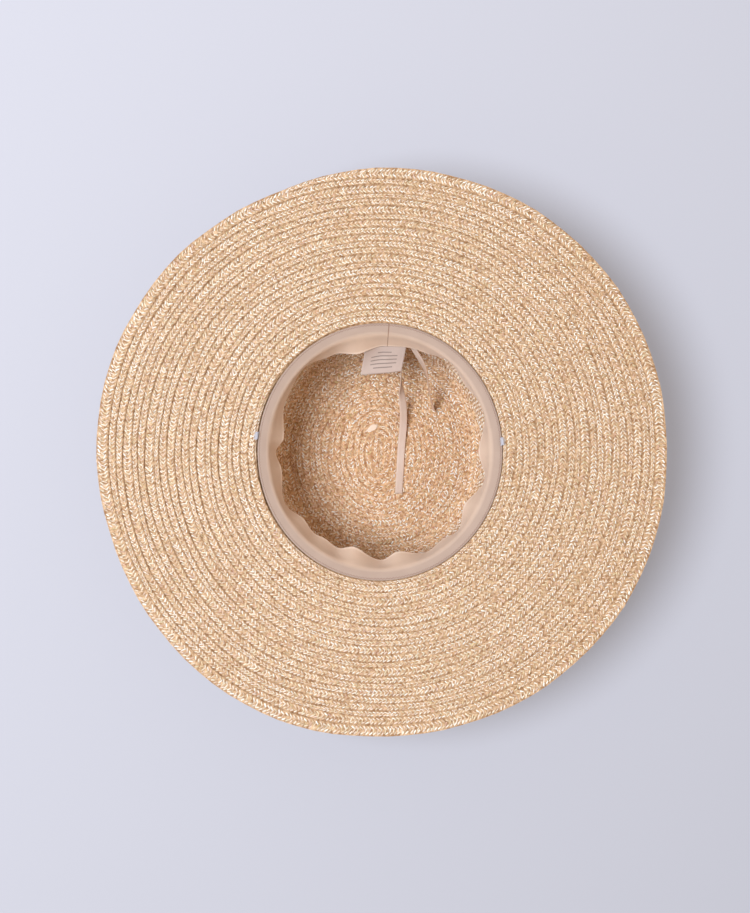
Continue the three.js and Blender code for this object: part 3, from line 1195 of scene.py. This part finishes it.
@dataclass
class Crown(PlaitedWall):
    """The crown: a flat oval tip, a rounded corner, a flared side and a small lip."""

    name: str = "crown"
    row: float = 4.9 * MM
    plait: float = 7 * MM
    # The crown's straw is painted warmer than the brim's, as painted warm light for the light that bounces
    # inside its hollow.
    warmth: float = 0.8
    tone: float = 0.46
    tone_spread: float = 0.42
    tip_rise: float = 0.66 * MM
    covered: float = 2.5 * MM
    flare: float = 7 * MM
    corner: float = 14 * MM
    fillet: float = 3 * MM
    tip_points: int = 12
    corner_points: int = 24
    lip_points: int = 10
    centre_length: float = 18 * MM
    flatness: float = 2.2
    section_step: float = 0.4 * MM
    fill_places: tuple = (0, 22 * MM, 45 * MM)
    fill_shares: tuple = (0.8, 0.84, 1)
    section: Array = field(default=None)
    lengths: Array = field(default=None)

    def __post_init__(self) -> None:
        """Works out the wall's section and how many turns the plait makes on it."""
        super().__post_init__()
        self.section = self.wall_section()
        steps = np.linalg.norm(np.diff(self.section, axis=0), axis=1)
        self.lengths = np.concatenate([[0], np.cumsum(steps)])
        self.length = float(self.lengths[-1])
        self.last_turn = self.length / self.row

    def wall_section(self) -> Array:
        """The inner face in section, from the middle of the tip to the lip's edge.

        Returns:
            Rows of radius and height.
        """
        f = self.form
        wall = f.wall + self.tip_rise
        inner = self.corner - wall
        side_top = f.opening_a - self.fillet
        tip_end = side_top - self.flare - inner
        lean = math.atan2(self.flare, f.depth - wall - inner - self.fillet)
        tip = [(r, wall) for r in np.linspace(0, tip_end, self.tip_points)]
        bend = [
            (tip_end + inner * math.cos(a), wall + inner + inner * math.sin(a))
            for a in np.linspace(-math.pi / 2, -lean, self.corner_points)
        ]
        lip = [
            (side_top + self.fillet + self.fillet * math.cos(a),
             f.depth - self.fillet + self.fillet * math.sin(a))
            for a in np.linspace(math.pi - lean, math.pi / 2, self.lip_points)
        ]
        edge = [(f.opening_a + f.lip_width, f.depth)]
        return np.array(tip + bend[1:] + lip + edge)

    def on_section(self, along: Array) -> Array:
        """Radius and height at distances along the section."""
        along = np.clip(along, 0, self.length)
        return np.stack([np.interp(along, self.lengths, c) for c in self.section.T], axis=-1)

    def place(self, turn: Array, along: Array, lift: Array) -> Array:
        """Positions on the crown.

        Args:
            turn: Turns of the spiral.
            along: Distance along the wall from its start.
            lift: Height over the wall's inner face, towards the head.

        Returns:
            One row of x, y, z for each.
        """
        along = np.clip(along, 0, self.length)
        spot = self.on_section(along)
        step = self.section_step
        tangent = unit(self.on_section(along + step) - self.on_section(along - step))
        radius = np.maximum(spot[:, 0] - tangent[:, 1] * lift, 0)
        height = spot[:, 1] + tangent[:, 0] * lift
        angle = self.angle(turn)
        a = self.form.opening_a
        excess = np.interp(radius, [0, a], [self.centre_length / 2, self.form.opening_b - a])
        flat = np.interp(radius, [0, 0.5 * a], [1, 0])
        bulge = np.tanh(self.flatness * np.sin(angle)) / math.tanh(self.flatness)
        oval = np.sin(angle) * (1 - flat) + flat * bulge
        return self.form.spots(angle, radius, height, excess * oval)

    def apart(self, along: Array) -> Array:
        """How much of its row each strand fills: less near the middle of the tip."""
        return np.interp(along, self.fill_places, self.fill_shares)

    def open_to_view(self, points: Array, face: Face) -> Array:
        """Which strands no other piece covers: inside, those under the band's shelf are left out."""
        return (points[:, 2] < self.form.depth - self.covered) | (face is Face.OUTER)


# The brim's edge over the plait's last turn: angle in degrees and share of the brim's radius.
# The turn starts where the plait ends, and the last row would lie this far out with no taper.
BRIM_EDGE_LINE = [
    (110, 0.979), (122, 0.986), (140, 0.994), (160, 1.001), (200, 1.003), (240, 1.007),
    (270, 0.996), (300, 0.997), (330, 1.001), (360, 1.001), (390, 1.002), (420, 0.998),
    (450, 0.997), (470, 1.004),
]


@dataclass
class Brim(PlaitedWall):
    """The brim: a flat ring whose plait tapers and ends at the back."""

    name: str = "brim"
    last_turn: float = 21
    seed: int = 11
    rise: float = 0.21
    tone: float = 0.45
    tone_spread: float = 0.25
    warmth: float = 0.36
    taper: float = 22 / 360
    overhang: float = 1.2

    def __post_init__(self) -> None:
        """Works out how far the brim reaches from the opening."""
        super().__post_init__()
        self.length = self.row * (self.last_turn - 1) + self.plait

    def width(self, turn: Array) -> Array:
        """Width of the plait, which narrows over its last stretch."""
        share = np.clip((turn - self.last_turn + self.taper) / self.taper, 0, 1)
        return self.plait - eased(share) * self.row

    def limit(self, turn: Array) -> Array:
        """The brim's own edge needs no limit but the plait's."""
        return np.full_like(turn, 2 * self.length)

    def place(self, turn: Array, along: Array, lift: Array) -> Array:
        """Positions on the brim.

        Args:
            turn: Turns of the spiral.
            along: Distance along the wall from its start.
            lift: Height over the brim's inner face, towards the head.

        Returns:
            One row of x, y, z for each.
        """
        angle = self.angle(turn)
        share = turn - np.floor(turn)
        direction = np.stack([np.cos(angle), np.sin(angle)], axis=-1)
        start = direction * self.form.opening(angle)[:, None]
        reach = smooth_table(BRIM_EDGE_LINE, BRIM_EDGE_LINE[0][0] + 360 * share)
        edge = self.form.brim_radius * reach - self.row * share
        end = direction * edge[:, None] + np.array([self.form.brim_shift, 0])
        stretch = end - start - direction * self.length
        blend = np.clip(along / self.length, 0, self.overhang)[:, None]
        flat = start + direction * along[:, None] + blend * stretch
        flat = flat + np.array(self.form.centre)
        return np.concatenate([flat, (self.form.brim_top + lift)[:, None]], axis=1)


# The sweatband's folds: angle in degrees and the free edge's share of the opening's radius.
BAND_FOLDS = [
    (0, 0.822), (22, 0.925), (39, 0.887), (51, 0.92), (68, 0.868), (87, 0.838), (102, 0.792),
    (116, 0.86), (132, 0.914), (150, 0.879), (172, 0.802), (180, 0.863), (190, 0.824),
    (209, 0.886), (222, 0.822), (231, 0.84), (238, 0.82), (246, 0.832), (255, 0.775),
    (271, 0.853), (280, 0.799), (296, 0.884), (305, 0.866), (315, 0.9), (328, 0.818),
    (345, 0.9), (360, 0.822),
]


@dataclass
class Sweatband:
    """A strip of cloth sewn at the head opening, whose free edge hangs in soft folds."""

    form: HatForm
    width: float = 28 * MM
    thick: float = 0.8 * MM
    shelf: float = 8.6 * MM
    shelf_drop: float = 2.6 * MM
    edge_gap: float = 0.65 * MM
    edge_swing: float = 0.35 * MM
    brim_gap: float = 0.3 * MM
    cloth: float = 1 * MM
    shelf_knot: tuple = (0.55, 0.25)
    fall_knot: tuple = (0.45, 0.5)
    hem: float = 1.3 * MM
    hem_share: float = 0.5
    sides: int = 480
    stations: int = 18
    stations_end: float = 0.93
    hem_stations: tuple = (0.95, 0.97, 0.988, 1.0)

    def middle(self, degrees: Array) -> Array:
        """The middle of the cloth in section at each angle.

        Args:
            degrees: Polar angles, in degrees.

        Returns:
            For each angle a row of stations, each a radius and a height.
        """
        opening = self.form.opening(np.radians(degrees))
        edge = opening - self.edge_gap + self.edge_swing * np.cos(np.radians(degrees))
        shelf_end = opening - self.shelf
        free = opening * smooth_table(BAND_FOLDS, degrees % 360)
        fall = np.sqrt((self.width - self.shelf) ** 2 - (shelf_end - free) ** 2)
        (out, down), (back, low) = self.shelf_knot, self.fall_knot
        level = np.full_like(edge, self.form.depth + self.brim_gap + self.cloth / 2)
        knots = [
            (edge, level),
            (edge + out * (shelf_end - edge), level - down * self.shelf_drop),
            (shelf_end, level - self.shelf_drop),
            (shelf_end + back * (free - shelf_end), level - self.shelf_drop - low * fall),
            (free, level - self.shelf_drop - fall),
        ]
        return spline(np.array(knots), self.shares()).transpose(2, 0, 1)

    def shares(self) -> Array:
        """Places across the cloth, closer together at its free edge."""
        return np.append(np.linspace(0, self.stations_end, self.stations), self.hem_stations)

    def turned(self, degrees: Array, section: Array) -> Array:
        """Radius and height at each angle as positions."""
        return self.form.spots(np.radians(degrees), section[..., 0], section[..., 1])

    def top_face(self, degrees: Array, across: Array, lift: float) -> Array:
        """Positions over the face towards the head.

        Args:
            degrees: Polar angles, in degrees.
            across: Distance from the sewn edge at each angle.
            lift: Height over the face.

        Returns:
            One row of x, y, z for each angle.
        """
        places = self.shares() * self.width
        rows = [[np.interp(a, places, axis) for axis in m.T] for a, m in zip(across, self.middle(degrees))]
        return self.turned(degrees, np.array(rows) + [0, self.thick / 2 + lift])

    def free_edge(self, degrees: Array) -> Array:
        """Positions of the free edge at angles in degrees."""
        return self.turned(degrees, self.middle(degrees)[:, -1])

    def build(self, material: Paint) -> None:
        """Makes the band and gives it its weave map.

        Args:
            material: Its finish.
        """
        degrees = np.arange(self.sides) * 360 / self.sides
        middle = self.middle(degrees)
        along = unit(np.gradient(middle, axis=1))
        normal = np.stack([along[..., 1], -along[..., 0]], axis=-1)
        down = self.shares() * self.width
        to_edge = (1 - self.shares()) * self.width
        half = self.thick / 2 * (1 + self.hem_share * np.exp(-(to_edge / self.hem) ** 2))
        lift = normal * half[:, None]
        ring = np.concatenate([middle + lift, (middle - lift)[:, ::-1]], axis=1)
        made = wound("sweatband_cloth", self.turned(degrees[:, None], ring), material, hoop=True)
        length = TURN * (self.form.opening_a + self.form.opening_b) / 2
        weave_map(made, self.sides, length, np.concatenate([down, down[::-1]]))
        seat(made, "sweatband")


@dataclass
class Label:
    """A satin tab that hangs from the band's free edge."""

    band: Sweatband
    width: float = 31 * MM
    length: float = 22 * MM
    thick: float = 0.5 * MM
    angle: float = 87
    heading: float = 259
    slope: float = 38
    sag: float = 1.2 * MM
    curl: float = 0.5 * MM
    curl_waves: float = 0.8
    curl_phase: float = 0.6
    gap: float = 1.3 * MM
    columns: int = 33
    lines: int = 24

    def build(self, material: Paint) -> None:
        """Makes the label and gives it its weave map.

        Args:
            material: Its finish.
        """
        across = np.linspace(-self.width / 2, self.width / 2, self.columns)
        down = np.linspace(0, self.length, self.lines)
        free = float(self.band.middle(np.array([self.angle]))[0, -1, 0])
        top = self.band.free_edge(self.angle - np.degrees(across / free)) - self.gap * UP
        plan, slope = heading(self.heading), math.radians(self.slope)
        fall = plan * math.cos(slope) - UP * math.sin(slope)
        face = plan * math.sin(slope) + UP * math.cos(slope)
        chord = top[:1] + (top[-1:] - top[:1]) * ((across - across[0]) / self.width)[:, None]
        share = down / self.length
        blend = share[None, :, None]
        sag = self.sag * np.sin(math.pi * share)
        curl = self.curl * np.sin(self.curl_waves * TURN * across / self.width + self.curl_phase)
        lift = (curl[:, None] * share - sag)[..., None] * face
        middle = top[:, None] * (1 - blend) + chord[:, None] * blend + down[:, None] * fall + lift
        half = face * self.thick / 2
        ring = np.concatenate([middle + half, (middle - half)[:, ::-1]], axis=1)
        made = wound("label_satin", ring, material)
        weave_map(made, self.columns, self.width, np.concatenate([down, down[::-1]]))
        seat(made, "label")


# Routes of the tape's two ends from behind the band down to the inside of the tip, from the
# crown's centre: x, y and z in millimetres and the twist of the tape's width in degrees.
TAPE_LONG_ROUTE = [
    (16.2, 82.6, 69.0, 0), (16.2, 82.5, 65.0, 0), (16.3, 80.6, 60.5, 0), (16.4, 76.8, 56.0, 0),
    (16.4, 72.0, 51.5, -30), (16.4, 67.0, 46.5, -70), (16.3, 62.0, 41.0, -86), (16.3, 57.0, 35.0, -86),
    (16.2, 51.0, 28.6, -78), (16.7, 45.5, 22.5, -36), (17.7, 40.0, 17.5, -20), (18.4, 32.5, 12.6, -14),
    (18.6, 24.5, 8.8, -8), (18.2, 17.0, 6.0, -4), (17.6, 10.0, 4.2, 0), (16.8, 0.0, 3.3, 0),
    (16.2, -12.5, 3.1, 0), (15.5, -23.0, 3.1, 0), (15.0, -32.0, 3.1, 0),
]
TAPE_SHORT_ROUTE = [
    (22.8, 81.6, 69.5, 40), (22.9, 81.2, 65.5, 46), (23.9, 78.7, 61.0, 52), (26.2, 74.8, 56.6, 58),
    (29.5, 70.0, 52.0, 60), (32.5, 65.0, 46.6, 64), (34.8, 59.5, 40.6, 76), (36.3, 54.0, 34.2, 86),
    (37.5, 48.5, 27.4, 88), (38.6, 43.5, 20.6, 88), (39.9, 39.0, 14.4, 88), (41.3, 35.2, 8.9, 84),
    (42.3, 32.0, 4.9, 72),
]


@dataclass
class Tape:
    """One end of the flat tape that draws the band in."""

    form: HatForm
    name: str
    route: list
    width: float = 5.8 * MM
    thick: float = 0.6 * MM
    upper: tuple = ((-1, 0), (-0.9, 1), (-0.45, 0.8), (0, 0.75), (0.45, 0.8), (0.9, 1), (1, 0))
    per_step: int = 6

    def build(self, material: Paint) -> None:
        """Args:
            material: Its finish.
        """
        rows = np.array(self.route, dtype=float)
        rows[:, :3] *= MM
        rows[:, :2] += np.array(self.form.centre)
        count = (len(rows) - 1) * self.per_step + 1
        bent = spline(rows, np.linspace(0, 1, count))
        centre, twist = bent[:, :3], np.radians(bent[:, 3:])
        tangent = unit(np.gradient(centre, axis=0))
        across = unit(np.cross(UP, tangent))
        across = across * np.cos(twist) + np.cross(tangent, across) * np.sin(twist)
        face = np.cross(tangent, across)
        shape = [*self.upper, *((x, -y) for x, y in self.upper[-2:0:-1])]
        half, thin = self.width / 2, self.thick / 2
        rings = [centre + across * half * x + face * thin * y for x, y in shape]
        made = wound(f"{self.name}_cloth", np.stack(rings, axis=1), material)
        length = float(np.linalg.norm(np.diff(centre, axis=0), axis=1).sum())
        weave_map(made, count, length, np.array([half * (1 + x) for x, _ in shape]))
        seat(made, self.name)
        tuple(centre[0])


@dataclass
class BandStitches:
    """The zigzag seam that holds the band near its outer edge."""

    band: Sweatband
    first: float = 1.5 * MM
    second: float = 2.7 * MM
    legs: int = 520
    radius: float = 0.2 * MM
    lift: float = 0.08 * MM
    dip: float = 0.22 * MM

    def build(self, nodes: ThreadNodes, material: Paint) -> None:
        """Makes the seam.

        Args:
            nodes: The tree that makes thread.
            material: Its finish.
        """
        index = np.arange(2 * self.legs)
        corner = index % 2 == 0
        across = np.where(index % 4 == 0, self.first, self.second)
        across = np.where(corner, across, (self.first + self.second) / 2)
        points = self.band.top_face(index * 360 / len(index), across, self.lift)
        points[:, 2] -= np.where(corner, self.dip, 0)
        seat(nodes.sew("sweatband_stitches", points, True, self.radius, material))


@dataclass
class Tack:
    """A bar of close stitches over the seam between the band and the brim."""

    name: str
    angle: float
    shift: tuple[float, float]
    length: float = 5.6 * MM
    width: float = 3.2 * MM
    legs: int = 14
    radius: float = 0.24 * MM
    height: float = 0.5 * MM
    rise: tuple = (0.0, 0.72, 1.0, 0.72)

    def build(self, nodes: ThreadNodes, material: Paint) -> None:
        """Makes the bar and puts it in the place of the plain one.

        Args:
            nodes: The tree that makes thread.
            material: Its finish.
        """
        low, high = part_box(self.name)
        centre = np.array([(low.x + high.x) / 2, (low.y + high.y) / 2, low.z])
        centre += np.array([*self.shift, 0])
        out, along = heading(self.angle), heading(self.angle + 90)
        points = []
        for leg in range(self.legs):
            way = 1 if leg % 2 == 0 else -1
            for step, height in enumerate(self.rise):
                share = (leg + step / len(self.rise)) / self.legs - 0.5
                side = way * (step / len(self.rise) - 0.5) * self.width
                points.append(centre + along * share * self.length + out * side + UP * height * self.height)
        made = nodes.sew(f"{self.name}_thread", np.array(points), False, self.radius, material)
        seat(made, self.name)


@dataclass
class PlaitStart:
    """The flat end of straw that shows by the middle of the tip."""

    form: HatForm
    at: tuple[float, float] = (-6.6 * MM, 18.1 * MM)
    heading: float = 29
    length: float = 11.5 * MM
    width: float = 4.6 * MM
    thick: float = 0.12 * MM
    height: float = 3.05 * MM
    blunt: float = 0.12
    lean: float = 1.9
    stations: int = 12
    marks: tuple = (("tone", 0.22), ("warmth", 0.3), ("tint", -0.8))

    def build(self, material: Paint) -> None:
        """Makes the end of straw.

        Args:
            material: The strands' finish.
        """
        along, side = heading(self.heading), heading(self.heading + 90)
        middle = np.array([self.form.centre[0] + self.at[0], self.form.centre[1] + self.at[1], self.height])
        lift = self.thick * UP
        rings = []
        for share in np.linspace(0, 1, self.stations):
            bulge = self.blunt + (1 - self.blunt) * math.sin(math.pi * share**self.lean)
            half = side * self.width / 2 * bulge
            spot = middle + along * (share - 0.5) * self.length + lift * math.sin(math.pi * share)
            rings.append([spot - half, spot + lift, spot + half, spot - lift])
        made = wound("crown_straw_end", np.array(rings), material, smooth=False)
        layer = made.data.uv_layers.new(name="Fibre")
        for loop in made.data.loops:
            station, corner = divmod(loop.vertex_index, 4)
            layer.data[loop.index].uv = (station / self.stations, corner / 4)
        for key, value in self.marks:
            store(made.data, key, np.full(len(made.data.vertices), value))
        seat(made)


@dataclass(frozen=True)
class Lamp:
    """A round soft light that faces the hat, with angles in degrees and power in watts."""

    name: str
    azimuth: float
    elevation: float
    size: float
    power: float
    colour: tuple
    distance: float = 2.8

    def hang(self) -> Body:
        """Adds the light.

        Returns:
            Its object.
        """
        up = math.radians(self.elevation)
        way = Vector(heading(self.azimuth) * math.cos(up) + UP * math.sin(up))
        data = bpy.data.lights.new(self.name, "AREA")
        data.shape = "DISK"
        data.size = self.size
        data.energy = self.power
        data.color = self.colour
        made = linked(self.name, data)
        made.location = way * self.distance
        made.rotation_euler = way.to_track_quat("Z", "Y").to_euler()
        return made


@dataclass(frozen=True)
class Studio:
    """The floor, the light and the camera."""

    camera_at: tuple = (-5.5 * MM, -3.2 * MM, 1220 * MM)
    lens: float = 75.55
    sensor: float = 36.0
    floor_half: float = 2.5
    floor_gap: float = 0.2 * MM
    key: Lamp = Lamp("key", 183, 67.5, 1.4, 81.5, (0.9, 0.98, 1.03))
    warm: Lamp = Lamp("fill", 3, 55, 2.0, 11.5, (1.0, 0.72, 0.45))
    sky: tuple = (1.06, 0.94, 0.79)
    sky_strength: float = 0.47

    def camera(self) -> None:
        """Puts the camera straight over the hat, with the back of the hat up in the picture."""
        data = bpy.data.cameras.new("camera")
        data.lens = self.lens
        data.sensor_fit = "HORIZONTAL"
        data.sensor_width = self.sensor
        made = linked("camera", data)
        made.location = self.camera_at
        bpy.context.scene.camera = made

    def light(self) -> None:
        """Adds the key light and the sky."""
        self.key.hang()
        world = bpy.data.worlds.new("sky")
        world.use_nodes = True
        sky = world.node_tree.nodes["Background"].inputs
        sky["Color"].default_value = (*self.sky, 1)
        sky["Strength"].default_value = self.sky_strength
        bpy.context.scene.world = world
        bpy.context.scene.view_settings.view_transform = "Standard"

    def fill(self) -> None:
        """Adds the room's warm light from the side away from the key, on the hat and not on the floor."""
        lit = bpy.data.collections.new("hat_pieces")
        for piece in bpy.context.scene.objects:
            if piece.type == "MESH" and piece.name != "floor":
                lit.objects.link(piece)
        self.warm.hang().light_linking.receiver_collection = lit

    def floor(self, material: Paint) -> None:
        """Lays the floor just under the hat.

        Args:
            material: Its finish.
        """
        half, low = self.floor_half, -self.floor_gap
        points = np.array([(-half, -half, low), (half, -half, low), (half, half, low), (-half, half, low)])
        made = mesh_object("floor", points, [(0, 1, 2, 3)])
        made.data.materials.append(material)


def main() -> None:
    """Builds the hat piece by piece."""
    logging.basicConfig(level=logging.INFO, format="%(name)s %(message)s")
    form, straw, studio = HatForm.from_frame(), Straw(), Studio()
    studio.camera()
    studio.light()
    studio.floor(FloorFinish().material())
    Tape(form, "tape_long", TAPE_LONG_ROUTE).build(TapeFinish().material())
    # The short end gets painted shade from 30 mm along, where it falls into the crown's shadow.
    short_finish = TapeFinish(name="tape_short_weave", deep_from=30 * MM, deep_to=46 * MM)
    Tape(form, "tape_short", TAPE_SHORT_ROUTE).build(short_finish.material())
    strand = StrandFinish().material()
    core = CoreFinish().material()
    # The crown's core is painted paler and more golden than the brim's, as painted warm light for the light
    # that bounces inside its hollow.
    painted_warm_core = CoreFinish(name="crown_core", dark=linear(164, 117, 80), light=linear(232, 193, 156)).material()
    nodes = PlaitNodes(straw)
    Crown(form, straw).build(nodes, strand, painted_warm_core)
    Brim(form, straw).build(nodes, strand, core)
    nodes.clear()
    PlaitStart(form).build(strand)
    band = Sweatband(form)
    band.build(BandFinish().material())
    Label(band).build(LabelFinish().material())
    thread_nodes = ThreadNodes()
    stitch = ThreadFinish(name="band_thread", colour=linear(146, 118, 108)).material()
    BandStitches(band).build(thread_nodes, stitch)
    white = ThreadFinish(name="tack_thread").material()
    Tack("tack_left", 172, (0.3 * MM, -0.9 * MM)).build(thread_nodes, white)
    Tack("tack_right", 6, (-1.0 * MM, -1.7 * MM)).build(thread_nodes, white)
    studio.fill()
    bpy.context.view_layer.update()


if __name__ == "__main__":
    main()
